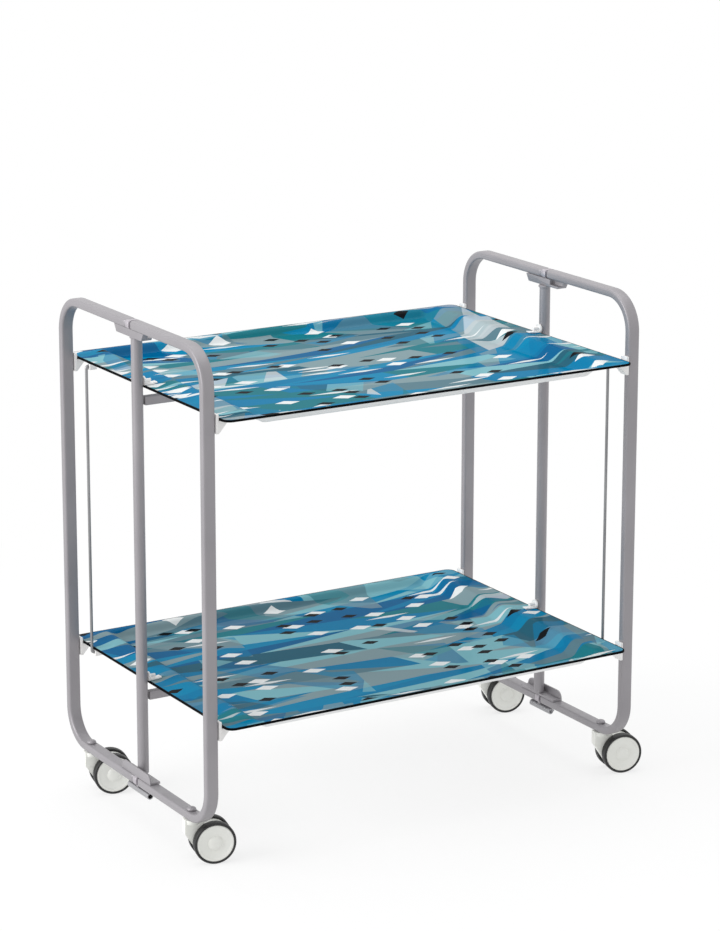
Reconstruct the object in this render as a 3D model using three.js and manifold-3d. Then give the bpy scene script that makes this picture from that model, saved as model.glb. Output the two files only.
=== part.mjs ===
// Folding serving trolley: two tilting trays between two end frames, each made of a front and a rear bow
// that swing on a centre post, on four swivel casters. Millimetres, Z up, the front faces -Y.
import * as THREE from "three";
import Module from "manifold-3d";
import { mergeVertices } from "three/addons/utils/BufferGeometryUtils.js";

const wasm = await Module();
wasm.setup();

// Clearances between parts
const gap = 0.3; // still air between two parts that touch
const pinEase = 0.4; // round a hinge pin or a tray's spindle
const axleEase = 0.5;
const clipEase = 0.4; // between a tray's end and what is fixed beside it
const rodEase = 0.65; // between a tray's end and a link rod

// Frame tube, a flattened rounded section
const tubeWide = 17.5; // along X
const tubeThick = 11; // along Y on a leg, along Z on a run
const tubeCorner = 3;
const legX = 322; // plane of each end frame
const legY = 199; // legs' centre lines from the middle
const frameTop = 689;
const runBottomZ = 59.5; // underside of the bottom runs
const bendRadius = 46;
const bendSteps = 6;
const pivotY = 12; // each bow's hinge from the post
const bowSwing = 68; // degrees outward when folded; the filling piece between the hinges clears it
const pinRadius = 3;
const pinDepth = 9;
const pinSides = 10;
const knuckleSides = 24;

// Centre posts and hinge fittings
const postIn = 5; // posts stand this far inside the frames' planes
const postRadius = 7.5;
const postSides = 24;
const fittingLength = 82;
const fittingWide = 15;
const topFittingDeep = 10;
const troughDeep = 13;
const troughWall = 2.2;
const troughFloor = 3;
const troughRoundShare = 0.8;
const fittingChamfer = 6;
const tongueThick = 3.2; // the top fitting's front end, under its slot
const slotDeep = 7;
const slotFrom = 17; // from the post's axis
const collarProud = 1.5;
const collarHigh = 3;

// Trays
const trayEndGap = 4.45; // from a tray's end to the legs
const trayY = 223; // half depth
const trayThick = 3;
const trayCorner = 12;
const upperRimDrop = 88; // below the frame's top
const lowerRimRise = 141.5; // above the bottom runs' underside
const axisAboveRim = 6;
const floorDrop = 11;
const crestRise = 3.5;
const rimFlat = 8;
const crestIn = 40;
const slopeFoot = 66;
const sideFoot = 20;
// Where the trays' height is taken, as shares of the slopes' feet
const endStationShare = [0, 0.136, 0.242, 0.364, 0.485, 0.606, 0.712, 0.803, 0.894, 1];
const sideStationShare = [0, 0.4, 0.6, 0.8, 1];

// Beam under each tray
const beamWide = 10;
const beamHigh = 12;
const beamShort = 0.6; // each end short of the tray's end

// Corner clips
const clipWide = 14;
const clipThick = 3.5;
const clipRise = 5;
const clipReach = 12.5;
const clipLip = 2.4;
const clipDrop = 20;

// Tray pivots
const discRadius = 6;
const discThick = 2.6;
const footLong = 19;
const footWide = 9;
const footThick = 1.8;
const footStationShare = [0, 0.25, 0.5, 0.75, 1];
const webThick = 2.4;
const spindleRadius = 2.4;
const spindleIn = 5;
const spindleBackShare = 0.6; // of the foot's length
const webBackShare = 0.55;

// Link rods
const rodRadius = 2;
const rodY = 160;
const rodBelowAxis = 12.5;
const rodBend = 3.2;
const rodHook = 15.2;
const rodSides = 8;
const blockLong = 10.5;
const blockWide = 9;
const blockFoot = 5;

// Casters
const wheelRadius = 28;
const tyreDeep = 3.1;
const tyreWide = 11.7;
const tyreEdge = 0.8;
const tyreShoulder = 1.6;
const axleRadius = 3;
const hubBoss = 10;
const hubLip = 0.6;
const hubDish = 1.8;
const hubBand = 3;
const hubEdge = 1;
const housingHalf = 6.6;
const drumShort = 3; // the drum's edge inside the wheels' edge
const drumFromShare = 0.62; // of a half turn
const drumToShare = -0.86;
const trail = 27;
const casterBack = 8; // from the start of the leg's bend to the caster's stem
const casterTurn = -13; // degrees from trailing along +X
const neckHalf = 10.5;
const neckRise = 12.5; // above the axle
const collarDeep = 6;
const wheelSides = 20;
const studRadius = 6.2;
const studHigh = 4.8;
const studSides = 16;
const studEdgeShare = 0.4;
const studCrownShare = 0.6;

// Springs under the bottom hinges
const springDrop = 8.9; // below the runs' underside
const sleeveRadius = 4.6;
const sleeveBore = 3.3;
const sleeveLong = 58;
const coilRadius = 3.9;
const wireRadius = 0.85;
const coilTurns = 21;
const coilLong = 50;
const coilSteps = 8;
const coilSides = 5;
const saddleWide = 9;
const saddleLong = 5;

const runTopZ = runBottomZ + tubeThick;
const runLowZ = (runBottomZ + runTopZ) / 2;
const runHighZ = frameTop - tubeThick / 2;
// The filling piece ends where a swung bow's edge leaves the hollow round its knuckle
const swing = THREE.MathUtils.degToRad(bowSwing);
const bowHalf = tubeWide / 2;
const hollowRadius = bowHalf + pinEase;
const edgeRun = Math.sqrt(hollowRadius ** 2 - bowHalf ** 2);
const capHalf = pivotY - bowHalf * Math.sin(swing) + edgeRun * Math.cos(swing) - gap;
const pinHoleRadius = pinRadius + pinEase;
const spindleHoleRadius = spindleRadius + pinEase;
const axleHoleRadius = axleRadius + axleEase;
const postX = legX - postIn;
const collarRadius = postRadius + collarProud;
const trayX = legX - tubeWide / 2 - trayEndGap;
const upperRimZ = frameTop - upperRimDrop;
const lowerRimZ = runBottomZ + lowerRimRise;
const beamEnd = trayX - beamShort;
const clipInner = trayX + clipEase;
const clipOuter = clipInner + clipThick;
const rodX = trayX + rodEase + rodRadius;
const rodTip = rodX - rodHook;
const blockEnd = trayX - clipEase;
const tyreInner = wheelRadius - tyreDeep;
const hubRadius = tyreInner - gap;
const drumRadius = wheelRadius - drumShort;
const wheelIn = housingHalf + 2 * gap;
const wheelOut = wheelIn + tyreWide;
const casterY = legY - bendRadius - casterBack;
const neckFootZ = wheelRadius + neckRise;
const collarFootZ = runBottomZ - collarDeep;
const springZ = runBottomZ - springDrop;
const saddleFootZ = springZ + sleeveRadius + 2 * gap;

const paint = new THREE.MeshStandardMaterial({ color: 0xb9b7ba, metalness: 0.4, roughness: 0.45 });
const white = new THREE.MeshStandardMaterial({ color: 0xf2f2f0, roughness: 0.4 });
const print = new THREE.MeshStandardMaterial({ color: 0x5aa0b0, roughness: 0.2 });
const grey = new THREE.MeshStandardMaterial({ color: 0xd9dad5, roughness: 0.45 });
const black = new THREE.MeshStandardMaterial({ color: 0x1c1c1c, roughness: 0.8 });
const steel = new THREE.MeshStandardMaterial({ color: 0xc8c8ca, metalness: 0.9, roughness: 0.3 });

const trolley = new THREE.Group();

function add(name, geometry, material) {
  const mesh = new THREE.Mesh(geometry.clone(), material);
  mesh.name = name;
  trolley.add(mesh);
}

// Bare positions with shared corners
function bare(geometry) {
  const copy = geometry.clone();
  copy.deleteAttribute("normal");
  copy.deleteAttribute("uv");
  return mergeVertices(copy, 1e-4);
}

function solid(geometry) {
  const merged = bare(geometry);
  return new wasm.Manifold(
    new wasm.Mesh({
      numProp: 3,
      vertProperties: new Float32Array(merged.attributes.position.array),
      triVerts: new Uint32Array(merged.index.array),
    }),
  );
}

function geometryOf(made) {
  const mesh = made.getMesh();
  return new THREE.BufferGeometry()
    .setAttribute("position", new THREE.BufferAttribute(new Float32Array(mesh.vertProperties), 3))
    .setIndex(new THREE.BufferAttribute(new Uint32Array(mesh.triVerts), 1));
}

function joined(pieces) {
  return pieces.map(solid).reduce((a, b) => a.add(b));
}

// A copy turned to the other side: mirrored in X where signX is -1 and in Y where signY is -1
function placed(geometry, signX, signY) {
  const copy = geometry.clone();
  copy.scale(signX, signY, 1);
  if (signX * signY < 0) {
    const index = copy.index || mergeVertices(copy).index;
    const array = index.array;
    for (let i = 0; i < array.length; i += 3) {
      const keep = array[i + 1];
      array[i + 1] = array[i + 2];
      array[i + 2] = keep;
    }
    copy.setIndex(index);
  }
  return copy;
}

function box(x0, x1, y0, y1, z0, z1) {
  const made = new THREE.BoxGeometry(x1 - x0, y1 - y0, z1 - z0);
  made.translate((x0 + x1) / 2, (y0 + y1) / 2, (z0 + z1) / 2);
  return made;
}

// A cylinder along Z, from z0 to z1
function peg(x, y, radius, z0, z1, sides) {
  const made = new THREE.CylinderGeometry(radius, radius, z1 - z0, sides);
  made.rotateX(Math.PI / 2);
  made.translate(x, y, (z0 + z1) / 2);
  return made;
}

// A cylinder along X, from x0 to x1
function pegX(x0, x1, y, z, radius, sides) {
  const made = new THREE.CylinderGeometry(radius, radius, x1 - x0, sides);
  made.rotateZ(Math.PI / 2);
  made.translate((x0 + x1) / 2, y, z);
  return made;
}

// An outline in X and Z, drawn through along Y from y0 to y1
function prismY(points, y0, y1) {
  const shape = new THREE.Shape(points.map(([x, z]) => new THREE.Vector2(x, z)));
  const made = new THREE.ExtrudeGeometry(shape, { depth: y1 - y0, bevelEnabled: false });
  made.rotateX(Math.PI / 2);
  made.translate(0, y1, 0);
  return made;
}

// An outline in Y and Z, drawn through along X from x0 to x1
function prismX(shape, x0, x1, curve) {
  const made = new THREE.ExtrudeGeometry(shape, {
    depth: x1 - x0,
    bevelEnabled: false,
    curveSegments: curve,
  });
  made.rotateX(Math.PI / 2);
  made.rotateZ(Math.PI / 2);
  made.translate(x0, 0, 0);
  return made;
}

// A curve through listed points, one sweep step to each point
class Polyline extends THREE.Curve {
  constructor(points) {
    super();
    this.points = points;
  }
  getPoint(t) {
    const last = this.points.length - 1;
    const at = Math.min(t * last, last);
    const i = Math.min(Math.floor(at), last - 1);
    return this.points[i].clone().lerp(this.points[i + 1], at - i);
  }
  getPointAt(t) {
    return this.getPoint(t);
  }
  getTangentAt(t) {
    const last = this.points.length - 1;
    const i = Math.round(t * last);
    const before = this.points[Math.max(i - 1, 0)];
    const after = this.points[Math.min(i + 1, last)];
    return after.clone().sub(before).normalize();
  }
}

function sweep(points, shape, curve) {
  return new THREE.ExtrudeGeometry(shape, {
    steps: points.length - 1,
    extrudePath: new Polyline(points),
    bevelEnabled: false,
    curveSegments: curve,
  });
}

// Points on a quarter turn in the plane x, from angle a to b about (y, z)
function arc(x, y, z, radius, a, b, steps) {
  const points = [];
  for (let i = 0; i <= steps; i++) {
    const angle = a + ((b - a) * i) / steps;
    points.push(new THREE.Vector3(x, y + radius * Math.cos(angle), z + radius * Math.sin(angle)));
  }
  return points;
}

// A regular outline with its corners on a circle
function ring(radius, sides) {
  const points = [];
  for (let i = 0; i < sides; i++) {
    const a = (2 * Math.PI * i) / sides;
    points.push(new THREE.Vector2(radius * Math.cos(a), radius * Math.sin(a)));
  }
  return new THREE.Shape(points);
}

function roundedRect(width, height, corner) {
  const w = width / 2;
  const h = height / 2;
  const shape = new THREE.Shape();
  shape.moveTo(w - corner, -h);
  shape.absarc(w - corner, -h + corner, corner, -Math.PI / 2, 0, false);
  shape.absarc(w - corner, h - corner, corner, 0, Math.PI / 2, false);
  shape.absarc(-w + corner, h - corner, corner, Math.PI / 2, Math.PI, false);
  shape.absarc(-w + corner, -h + corner, corner, Math.PI, 1.5 * Math.PI, false);
  return shape;
}

// Bows: a run, a bend, a leg, a bend and a run, with a round knuckle at each end
function bow() {
  const bendY = legY - bendRadius;
  const points = [
    new THREE.Vector3(legX, pivotY, runHighZ),
    ...arc(legX, bendY, runHighZ - bendRadius, bendRadius, Math.PI / 2, 0, bendSteps),
    ...arc(legX, bendY, runLowZ + bendRadius, bendRadius, 0, -Math.PI / 2, bendSteps),
    new THREE.Vector3(legX, pivotY, runLowZ),
  ];
  const tube = sweep(points, roundedRect(tubeThick, tubeWide, tubeCorner), 1);
  const h = tubeThick / 2;
  const w = tubeWide / 2;
  const c = tubeCorner;
  const d = c * Math.SQRT1_2;
  const profile = [
    [0, -h],
    [w - c, -h],
    [w - c + d, -h + c - d],
    [w, -h + c],
    [w, h - c],
    [w - c + d, h - c + d],
    [w - c, h],
    [0, h],
  ].map(([r, z]) => new THREE.Vector2(r, z));
  const knuckle = new THREE.LatheGeometry(profile, knuckleSides);
  knuckle.rotateX(Math.PI / 2);
  const high = knuckle.clone().translate(legX, pivotY, runHighZ);
  const low = knuckle.clone().translate(legX, pivotY, runLowZ);
  const highFace = runHighZ - h;
  const lowFace = runLowZ + h;
  const holeHigh = peg(legX, pivotY, pinHoleRadius, highFace - gap, highFace + pinDepth + gap, pinSides);
  const holeLow = peg(legX, pivotY, pinHoleRadius, lowFace - pinDepth - gap, lowFace + gap, pinSides);
  return geometryOf(joined([tube, high, low]).subtract(solid(holeHigh)).subtract(solid(holeLow)));
}
const bowShape = bow();
const corners = [
  ["front_left", -1, -1],
  ["rear_left", -1, 1],
  ["front_right", 1, -1],
  ["rear_right", 1, 1],
];
for (const [place, sx, sy] of corners) add("bow_" + place, placed(bowShape, sx, sy), paint);

// Hinge fittings: the filling block between the bows' knuckles, two hinge pins, and the post's seat,
// walled on the frame's outer side only
const fittingX = legX - (tubeWide - fittingWide) / 2;
function pins(z0, z1) {
  return [pivotY, -pivotY].map((y) => peg(legX, y, pinRadius, z0, z1, pinSides));
}
// The piece between two knuckles: the bows' own section, hollowed at both ends to clear them
function cap(runZ, neck, under) {
  const section = roundedRect(tubeWide, tubeThick, tubeCorner);
  const options = { depth: 2 * capHalf, bevelEnabled: false, curveSegments: 1 };
  const body = new THREE.ExtrudeGeometry(section, options);
  body.rotateX(Math.PI / 2);
  body.translate(legX, capHalf, runZ);
  const reach = tubeThick + topFittingDeep;
  const cutters = [pivotY, -pivotY].map((y) =>
    solid(peg(legX, y, hollowRadius, runZ - reach, runZ + reach, knuckleSides)),
  );
  return cutters.reduce((made, cutter) => made.subtract(cutter), joined([body, neck, ...under]));
}
function topFitting() {
  const z1 = frameTop - tubeThick - gap;
  const z0 = z1 - topFittingDeep;
  const half = fittingLength / 2;
  const side = new THREE.Shape(
    [
      [-half, z1],
      [-half + fittingChamfer, z0],
      [half - fittingChamfer, z0],
      [half, z1],
    ].map(([y, z]) => new THREE.Vector2(y, z)),
  );
  const bar = prismX(side, fittingX - fittingWide / 2, fittingX + fittingWide / 2, 1);
  const flat = tubeWide / 2 - tubeCorner;
  const neck = box(legX - flat, legX + flat, -capHalf, capHalf, z1 - gap, z1 + tubeCorner);
  const inner = fittingX - fittingWide / 2;
  const slot = box(inner - gap, inner + slotDeep, -fittingLength, -slotFrom, z0 + tongueThick, z1 + gap);
  const under = joined([bar, ...pins(z1 - gap, z1 + pinDepth)]).subtract(solid(slot));
  return geometryOf(cap(runHighZ, neck, []).add(under));
}
function troughSide() {
  const half = fittingLength / 2;
  const z0 = runTopZ + gap;
  const z1 = z0 + troughDeep;
  const round = troughDeep * troughRoundShare;
  const shape = new THREE.Shape();
  shape.moveTo(-half, z0);
  shape.lineTo(half, z0);
  shape.lineTo(half, z1 - round);
  shape.absarc(half - round, z1 - round, round, 0, Math.PI / 2, false);
  shape.lineTo(-half + round, z1);
  shape.absarc(-half + round, z1 - round, round, Math.PI / 2, Math.PI, false);
  return shape;
}
function bottomFitting() {
  const z0 = runTopZ + gap;
  const z1 = z0 + troughDeep;
  const block = prismX(troughSide(), fittingX - fittingWide / 2, fittingX + fittingWide / 2, 4);
  const inside = box(
    fittingX - fittingWide / 2 - gap,
    fittingX + fittingWide / 2 - troughWall,
    -fittingLength,
    fittingLength,
    z0 + troughFloor,
    z1 + gap,
  );
  const flat = tubeWide / 2 - tubeCorner;
  const neck = box(legX - flat, legX + flat, -capHalf, capHalf, z0 - tubeCorner, z0 + gap);
  const saddle = box(
    legX - saddleWide / 2,
    legX + saddleWide / 2,
    -saddleLong / 2,
    saddleLong / 2,
    saddleFootZ,
    runBottomZ + gap,
  );
  const trough = solid(block).subtract(solid(inside));
  const filling = cap(runLowZ, neck, [saddle]);
  return geometryOf(trough.add(filling).add(joined(pins(z0 - pinDepth, z0 + gap))));
}
const topShape = topFitting();
const bottomShape = bottomFitting();
for (const [side, sx] of [["left", -1], ["right", 1]]) {
  add("top_fitting_" + side, placed(topShape, sx, 1), paint);
  add("bottom_fitting_" + side, placed(bottomShape, sx, 1), paint);
}

// Centre posts, from the bottom fitting's floor to the top fitting, bored for the trays' spindles
const postTopZ = frameTop - tubeThick - 2 * gap - topFittingDeep;
const postFootZ = runTopZ + 2 * gap + troughFloor;
function post() {
  const shaft = peg(postX, 0, postRadius, postFootZ, postTopZ, postSides);
  const collar = peg(postX, 0, collarRadius, postTopZ - collarHigh, postTopZ, postSides);
  const face = postX - postRadius;
  const cuts = [upperRimZ, lowerRimZ].map((rim) =>
    pegX(face - gap, face + spindleIn + gap, 0, rim + axisAboveRim, spindleHoleRadius, pinSides),
  );
  return geometryOf(cuts.reduce((made, cut) => made.subtract(solid(cut)), joined([shaft, collar])));
}
const postShape = post();
add("post_left", placed(postShape, -1, 1), paint);
add("post_right", placed(postShape, 1, 1), paint);

// Trays: a thin shell whose height is a rule of the distance in from its edges
function smooth(a, b, x) {
  const t = Math.min(Math.max((x - a) / (b - a), 0), 1);
  return t * t * (3 - 2 * t);
}
function trayHeight(x, y) {
  const u = trayX - Math.abs(x);
  const v = trayY - Math.abs(y);
  const climb = crestRise * smooth(rimFlat, crestIn, u);
  const fall = (crestRise + floorDrop) * smooth(crestIn, slopeFoot, u);
  return (climb - fall) * smooth(rimFlat, sideFoot, v);
}
// Station lines from the two edges inwards, with one line at the middle
function stations(share, foot, half) {
  const near = share.map((s) => s * foot);
  return [...near.map((inset) => inset - half), 0, ...near.map((inset) => half - inset).reverse()];
}
function tray(rimZ) {
  const xs = stations(endStationShare, slopeFoot, trayX);
  const ys = stations(sideStationShare, sideFoot, trayY);
  const made = new THREE.BoxGeometry(1, 1, 1, xs.length - 1, ys.length - 1, 1);
  const at = made.attributes.position;
  for (let i = 0; i < at.count; i++) {
    const x = xs[Math.round((at.getX(i) + 0.5) * (xs.length - 1))];
    const y = ys[Math.round((at.getY(i) + 0.5) * (ys.length - 1))];
    const cx = Math.min(Math.max(x, trayCorner - trayX), trayX - trayCorner);
    const cy = Math.min(Math.max(y, trayCorner - trayY), trayY - trayCorner);
    const dx = x - cx;
    const dy = y - cy;
    const long = Math.hypot(dx, dy);
    const pull = long > 0 ? Math.max(Math.abs(dx), Math.abs(dy)) / long : 1;
    const px = cx + dx * pull;
    const py = cy + dy * pull;
    const top = at.getZ(i) > 0 ? 0 : -trayThick;
    at.setXYZ(i, px, py, rimZ + top + trayHeight(x, y));
  }
  return bare(made);
}
add("tray_upper", tray(upperRimZ), print);
add("tray_lower", tray(lowerRimZ), print);

// Beams, clips, pivot lugs and rod blocks that ride on each tray
const clipShape = (rimZ) =>
  prismY(
    [
      [clipOuter, rimZ + clipRise],
      [clipInner, rimZ + clipRise],
      [clipInner, rimZ - trayThick - gap],
      [clipInner - clipReach, rimZ - trayThick - gap],
      [clipInner - clipReach, rimZ - trayThick - gap - clipLip],
      [clipInner, rimZ - clipDrop],
      [clipOuter, rimZ - clipDrop],
    ],
    legY - clipWide / 2,
    legY + clipWide / 2,
  );
function pivotLug(rimZ) {
  const axisZ = rimZ + axisAboveRim;
  const face = postX - postRadius - gap;
  const disc = pegX(face - discThick, face, 0, axisZ, discRadius, postSides);
  const under = footStationShare.map((share) => {
    const x = face - gap - footLong * share;
    return [x, rimZ + trayHeight(x, 0) + 2 * gap];
  });
  const over = under.map(([x, z]) => [x, z + footThick]).reverse();
  const foot = prismY([...under, ...over], -footWide / 2, footWide / 2);
  const spindleFrom = face - footLong * spindleBackShare;
  const spindle = pegX(spindleFrom, face + spindleIn, 0, axisZ, spindleRadius, pinSides);
  const webFoot = rimZ + 2 * gap + footThick / 2;
  const web = box(face - footLong * webBackShare, face - gap, -webThick / 2, webThick / 2, webFoot, axisZ);
  return geometryOf(joined([disc, foot, spindle, web]));
}
function rodBlock(rimZ) {
  const top = rimZ - trayThick - gap;
  const holeZ = rimZ + axisAboveRim - rodBelowAxis;
  const low = holeZ - blockFoot;
  const half = blockWide / 2;
  const shape = new THREE.Shape();
  shape.moveTo(rodY - half, top);
  shape.lineTo(rodY - half, low);
  shape.lineTo(rodY + half, low);
  shape.lineTo(rodY + half, top);
  const bore = new THREE.Path();
  bore.absarc(rodY, holeZ, rodRadius + gap, 0, 2 * Math.PI, true);
  shape.holes.push(bore);
  return prismX(shape, blockEnd - blockLong, blockEnd, 5);
}
for (const [level, rimZ] of [["upper", upperRimZ], ["lower", lowerRimZ]]) {
  const beamTop = rimZ - floorDrop - trayThick - gap;
  const beam = box(-beamEnd, beamEnd, -beamWide / 2, beamWide / 2, beamTop - beamHigh, beamTop);
  add("beam_" + level, beam, paint);
  const clip = clipShape(rimZ);
  for (const [place, sx, sy] of corners) {
    add("clip_" + level + "_" + place, placed(bare(clip), sx, sy), white);
  }
  const lug = pivotLug(rimZ);
  add("pivot_" + level + "_left", placed(lug, -1, 1), white);
  add("pivot_" + level + "_right", placed(lug, 1, 1), white);
  const block = bare(rodBlock(rimZ));
  add("rod_block_" + level + "_left", placed(block, -1, 1), white);
  add("rod_block_" + level + "_right", placed(block, 1, -1), white);
}

// Link rods between the trays, their bent ends lying in the blocks
function rod() {
  const highZ = upperRimZ + axisAboveRim - rodBelowAxis;
  const lowZ = lowerRimZ + axisAboveRim - rodBelowAxis;
  const points = [new THREE.Vector3(rodTip, rodY, highZ)];
  for (let i = 0; i <= 3; i++) {
    const a = Math.PI / 2 - (i * Math.PI) / 6;
    const x = rodX - rodBend + rodBend * Math.cos(a);
    points.push(new THREE.Vector3(x, rodY, highZ - rodBend + rodBend * Math.sin(a)));
  }
  for (let i = 0; i <= 3; i++) {
    const a = (-i * Math.PI) / 6;
    const x = rodX - rodBend + rodBend * Math.cos(a);
    points.push(new THREE.Vector3(x, rodY, lowZ + rodBend + rodBend * Math.sin(a)));
  }
  points.push(new THREE.Vector3(rodTip, rodY, lowZ));
  return bare(sweep(points, ring(rodRadius, rodSides), 1));
}
const rodShape = rod();
add("rod_left", placed(rodShape, -1, 1), steel);
add("rod_right", placed(rodShape, 1, -1), steel);

// Casters: a drum housing with a neck, and two wheels on one axle, trailing along +X before the turn
function toCaster(geometry, sx, sy) {
  const made = geometry.clone();
  made.rotateZ(THREE.MathUtils.degToRad(casterTurn));
  made.translate(sx * legX, sy * casterY, 0);
  return made;
}
function housing() {
  const drumFrom = Math.PI * drumFromShare;
  const drumTo = Math.PI * drumToShare;
  const shape = new THREE.Shape();
  shape.moveTo(-neckHalf, runBottomZ - gap);
  shape.lineTo(-neckHalf, neckFootZ);
  shape.lineTo(trail + drumRadius * Math.cos(drumTo), wheelRadius + drumRadius * Math.sin(drumTo));
  shape.absarc(trail, wheelRadius, drumRadius, drumTo, drumFrom, false);
  shape.lineTo(neckHalf, runBottomZ - gap);
  const bore = new THREE.Path();
  bore.absarc(trail, wheelRadius, axleHoleRadius, 0, 2 * Math.PI, true);
  shape.holes.push(bore);
  const body = new THREE.ExtrudeGeometry(shape, {
    depth: 2 * housingHalf,
    bevelEnabled: false,
    curveSegments: 18,
  });
  body.rotateX(Math.PI / 2);
  body.translate(0, housingHalf, 0);
  return geometryOf(joined([body, peg(0, 0, neckHalf, collarFootZ, runBottomZ - gap, knuckleSides)]));
}
function atAxle(profile) {
  const made = new THREE.LatheGeometry(
    profile.map(([r, u]) => new THREE.Vector2(r, u)),
    wheelSides,
  );
  made.translate(trail, 0, wheelRadius);
  return bare(made);
}
const hubHalf = [
  [0, wheelOut],
  [hubBoss - hubEdge, wheelOut - hubLip],
  [hubBoss, wheelOut - hubDish],
  [hubRadius - hubBand, wheelOut - hubDish],
  [hubRadius, wheelOut - hubLip],
  [hubRadius, wheelIn],
  [axleRadius, wheelIn],
];
const hubShape = atAxle([...hubHalf.map(([r, u]) => [r, -u]), ...hubHalf.slice().reverse()]);
function tyre(side) {
  const rim = [
    [tyreInner, wheelIn],
    [wheelRadius - tyreEdge, wheelIn],
    [wheelRadius, wheelIn + tyreEdge],
    [wheelRadius, wheelOut - tyreShoulder],
    [wheelRadius - tyreEdge, wheelOut - gap],
    [tyreInner, wheelOut],
    [tyreInner, wheelIn],
  ].map(([r, u]) => [r, side * u]);
  return atAxle(side > 0 ? rim : rim.reverse());
}
const tyreNear = tyre(-1);
const tyreFar = tyre(1);
const housingShape = housing();
const studProfile = [
  [0, 0],
  [studRadius, 0],
  [studRadius, studHigh * studEdgeShare],
  [studRadius * studCrownShare, studHigh],
  [0, studHigh],
].map(([r, z]) => new THREE.Vector2(r, z));
const studShape = new THREE.LatheGeometry(studProfile, studSides);
studShape.rotateX(Math.PI / 2);
for (const [place, sx, sy] of corners) {
  add("caster_" + place, toCaster(housingShape, sx, sy), grey);
  add("wheels_" + place, toCaster(hubShape, sx, sy), grey);
  add("tyre_near_" + place, toCaster(tyreNear, sx, sy), black);
  add("tyre_far_" + place, toCaster(tyreFar, sx, sy), black);
  const stud = studShape.clone();
  stud.translate(sx * legX, sy * casterY, runTopZ + gap);
  add("stud_" + place, stud, paint);
}

// Spring sleeve on the left, open coil on the right
const sleeveProfile = [
  [sleeveBore, -sleeveLong / 2],
  [sleeveRadius, -sleeveLong / 2],
  [sleeveRadius, sleeveLong / 2],
  [sleeveBore, sleeveLong / 2],
  [sleeveBore, -sleeveLong / 2],
].map(([r, y]) => new THREE.Vector2(r, y));
const sleeve = new THREE.LatheGeometry(sleeveProfile, knuckleSides);
sleeve.translate(-legX, 0, springZ);
add("spring_sleeve", sleeve, steel);

function coil() {
  const total = coilTurns * coilSteps;
  const points = [];
  const straight = 2 * wireRadius;
  points.push(new THREE.Vector3(legX + coilRadius, -coilLong / 2 - straight, springZ));
  for (let i = 0; i <= total; i++) {
    const a = (2 * Math.PI * i) / coilSteps;
    points.push(
      new THREE.Vector3(
        legX + coilRadius * Math.cos(a),
        -coilLong / 2 + (coilLong * i) / total,
        springZ + coilRadius * Math.sin(a),
      ),
    );
  }
  points.push(new THREE.Vector3(legX + coilRadius, coilLong / 2 + straight, springZ));
  let least = Infinity;
  points.forEach((a, i) => {
    points.slice(i + coilSteps / 2).forEach((b) => {
      least = Math.min(least, a.distanceTo(b));
    });
  });
  console.log("coil gap to itself " + (least - 2 * wireRadius).toFixed(2) + " mm");
  return bare(sweep(points, ring(wireRadius, coilSides), 1));
}
add("spring_coil", coil(), steel);

// The casters all trail the same way, so the box's middle lies beside the frame's: the box is centred
const middle = new THREE.Box3().setFromObject(trolley).getCenter(new THREE.Vector3());
for (const mesh of trolley.children) mesh.geometry.translate(-middle.x, 0, 0);
console.log("box middle moved by " + (-middle.x).toFixed(3) + " mm");

export default trolley;
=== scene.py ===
import math
import bpy
import bmesh
import numpy as np
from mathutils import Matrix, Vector


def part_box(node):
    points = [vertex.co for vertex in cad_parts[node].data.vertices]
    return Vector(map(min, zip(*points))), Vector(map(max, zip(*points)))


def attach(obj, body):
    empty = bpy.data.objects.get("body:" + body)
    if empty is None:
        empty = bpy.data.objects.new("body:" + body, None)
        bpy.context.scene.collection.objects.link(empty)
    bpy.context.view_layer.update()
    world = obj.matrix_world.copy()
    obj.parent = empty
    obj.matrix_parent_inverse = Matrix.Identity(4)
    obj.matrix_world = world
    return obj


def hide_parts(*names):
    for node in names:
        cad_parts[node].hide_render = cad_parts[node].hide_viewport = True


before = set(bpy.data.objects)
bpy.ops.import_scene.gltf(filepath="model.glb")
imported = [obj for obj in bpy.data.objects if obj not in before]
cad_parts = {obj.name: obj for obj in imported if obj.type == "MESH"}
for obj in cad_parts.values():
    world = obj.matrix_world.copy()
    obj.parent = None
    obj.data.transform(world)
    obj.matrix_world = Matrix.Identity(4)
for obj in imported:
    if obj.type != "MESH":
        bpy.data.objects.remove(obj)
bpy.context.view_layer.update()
mm = 0.001

# Places read from the frame
bowLow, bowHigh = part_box("bow_front_left")
farLow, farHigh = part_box("bow_rear_right")
middleX = (bowLow.x + farHigh.x) / 2
legX = (farLow.x + farHigh.x) / 2 - middleX  # from the middle to each frame's plane
tubeWide = bowHigh.x - bowLow.x
frameTop = bowHigh.z
runFoot = bowLow.z
outerY = -bowLow.y
corners = [("front_left", -1, -1), ("rear_left", -1, 1), ("front_right", 1, -1), ("rear_right", 1, 1)]
cornerNames = [name for name, signX, signY in corners]
sides = [("left", -1), ("right", 1)]
sideNames = [name for name, signX in sides]
levels = ("upper", "lower")

meshLook = {
    "weld": 0.002 * mm,
    "nodeWeld": 0.005 * mm,  # for the frame's own nodes
    "flat": math.radians(0.5),  # faces that meet flatter than this become one
    "sharp": math.radians(40),
    "bevelFrom": math.radians(30),
    "bevelSegments": 2,
    "alongX": 0.9,  # a tube that starts more along X than this takes its first ring from Y
}


# Meshes from whole arrays of points

def settledObject(name, bm, mesh):
    bmesh.ops.recalc_face_normals(bm, faces=bm.faces)
    for face in bm.faces:
        face.smooth = True
    bm.to_mesh(mesh)
    bm.free()
    piece = bpy.data.objects.new(name, mesh)
    bpy.context.scene.collection.objects.link(piece)
    return piece


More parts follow.
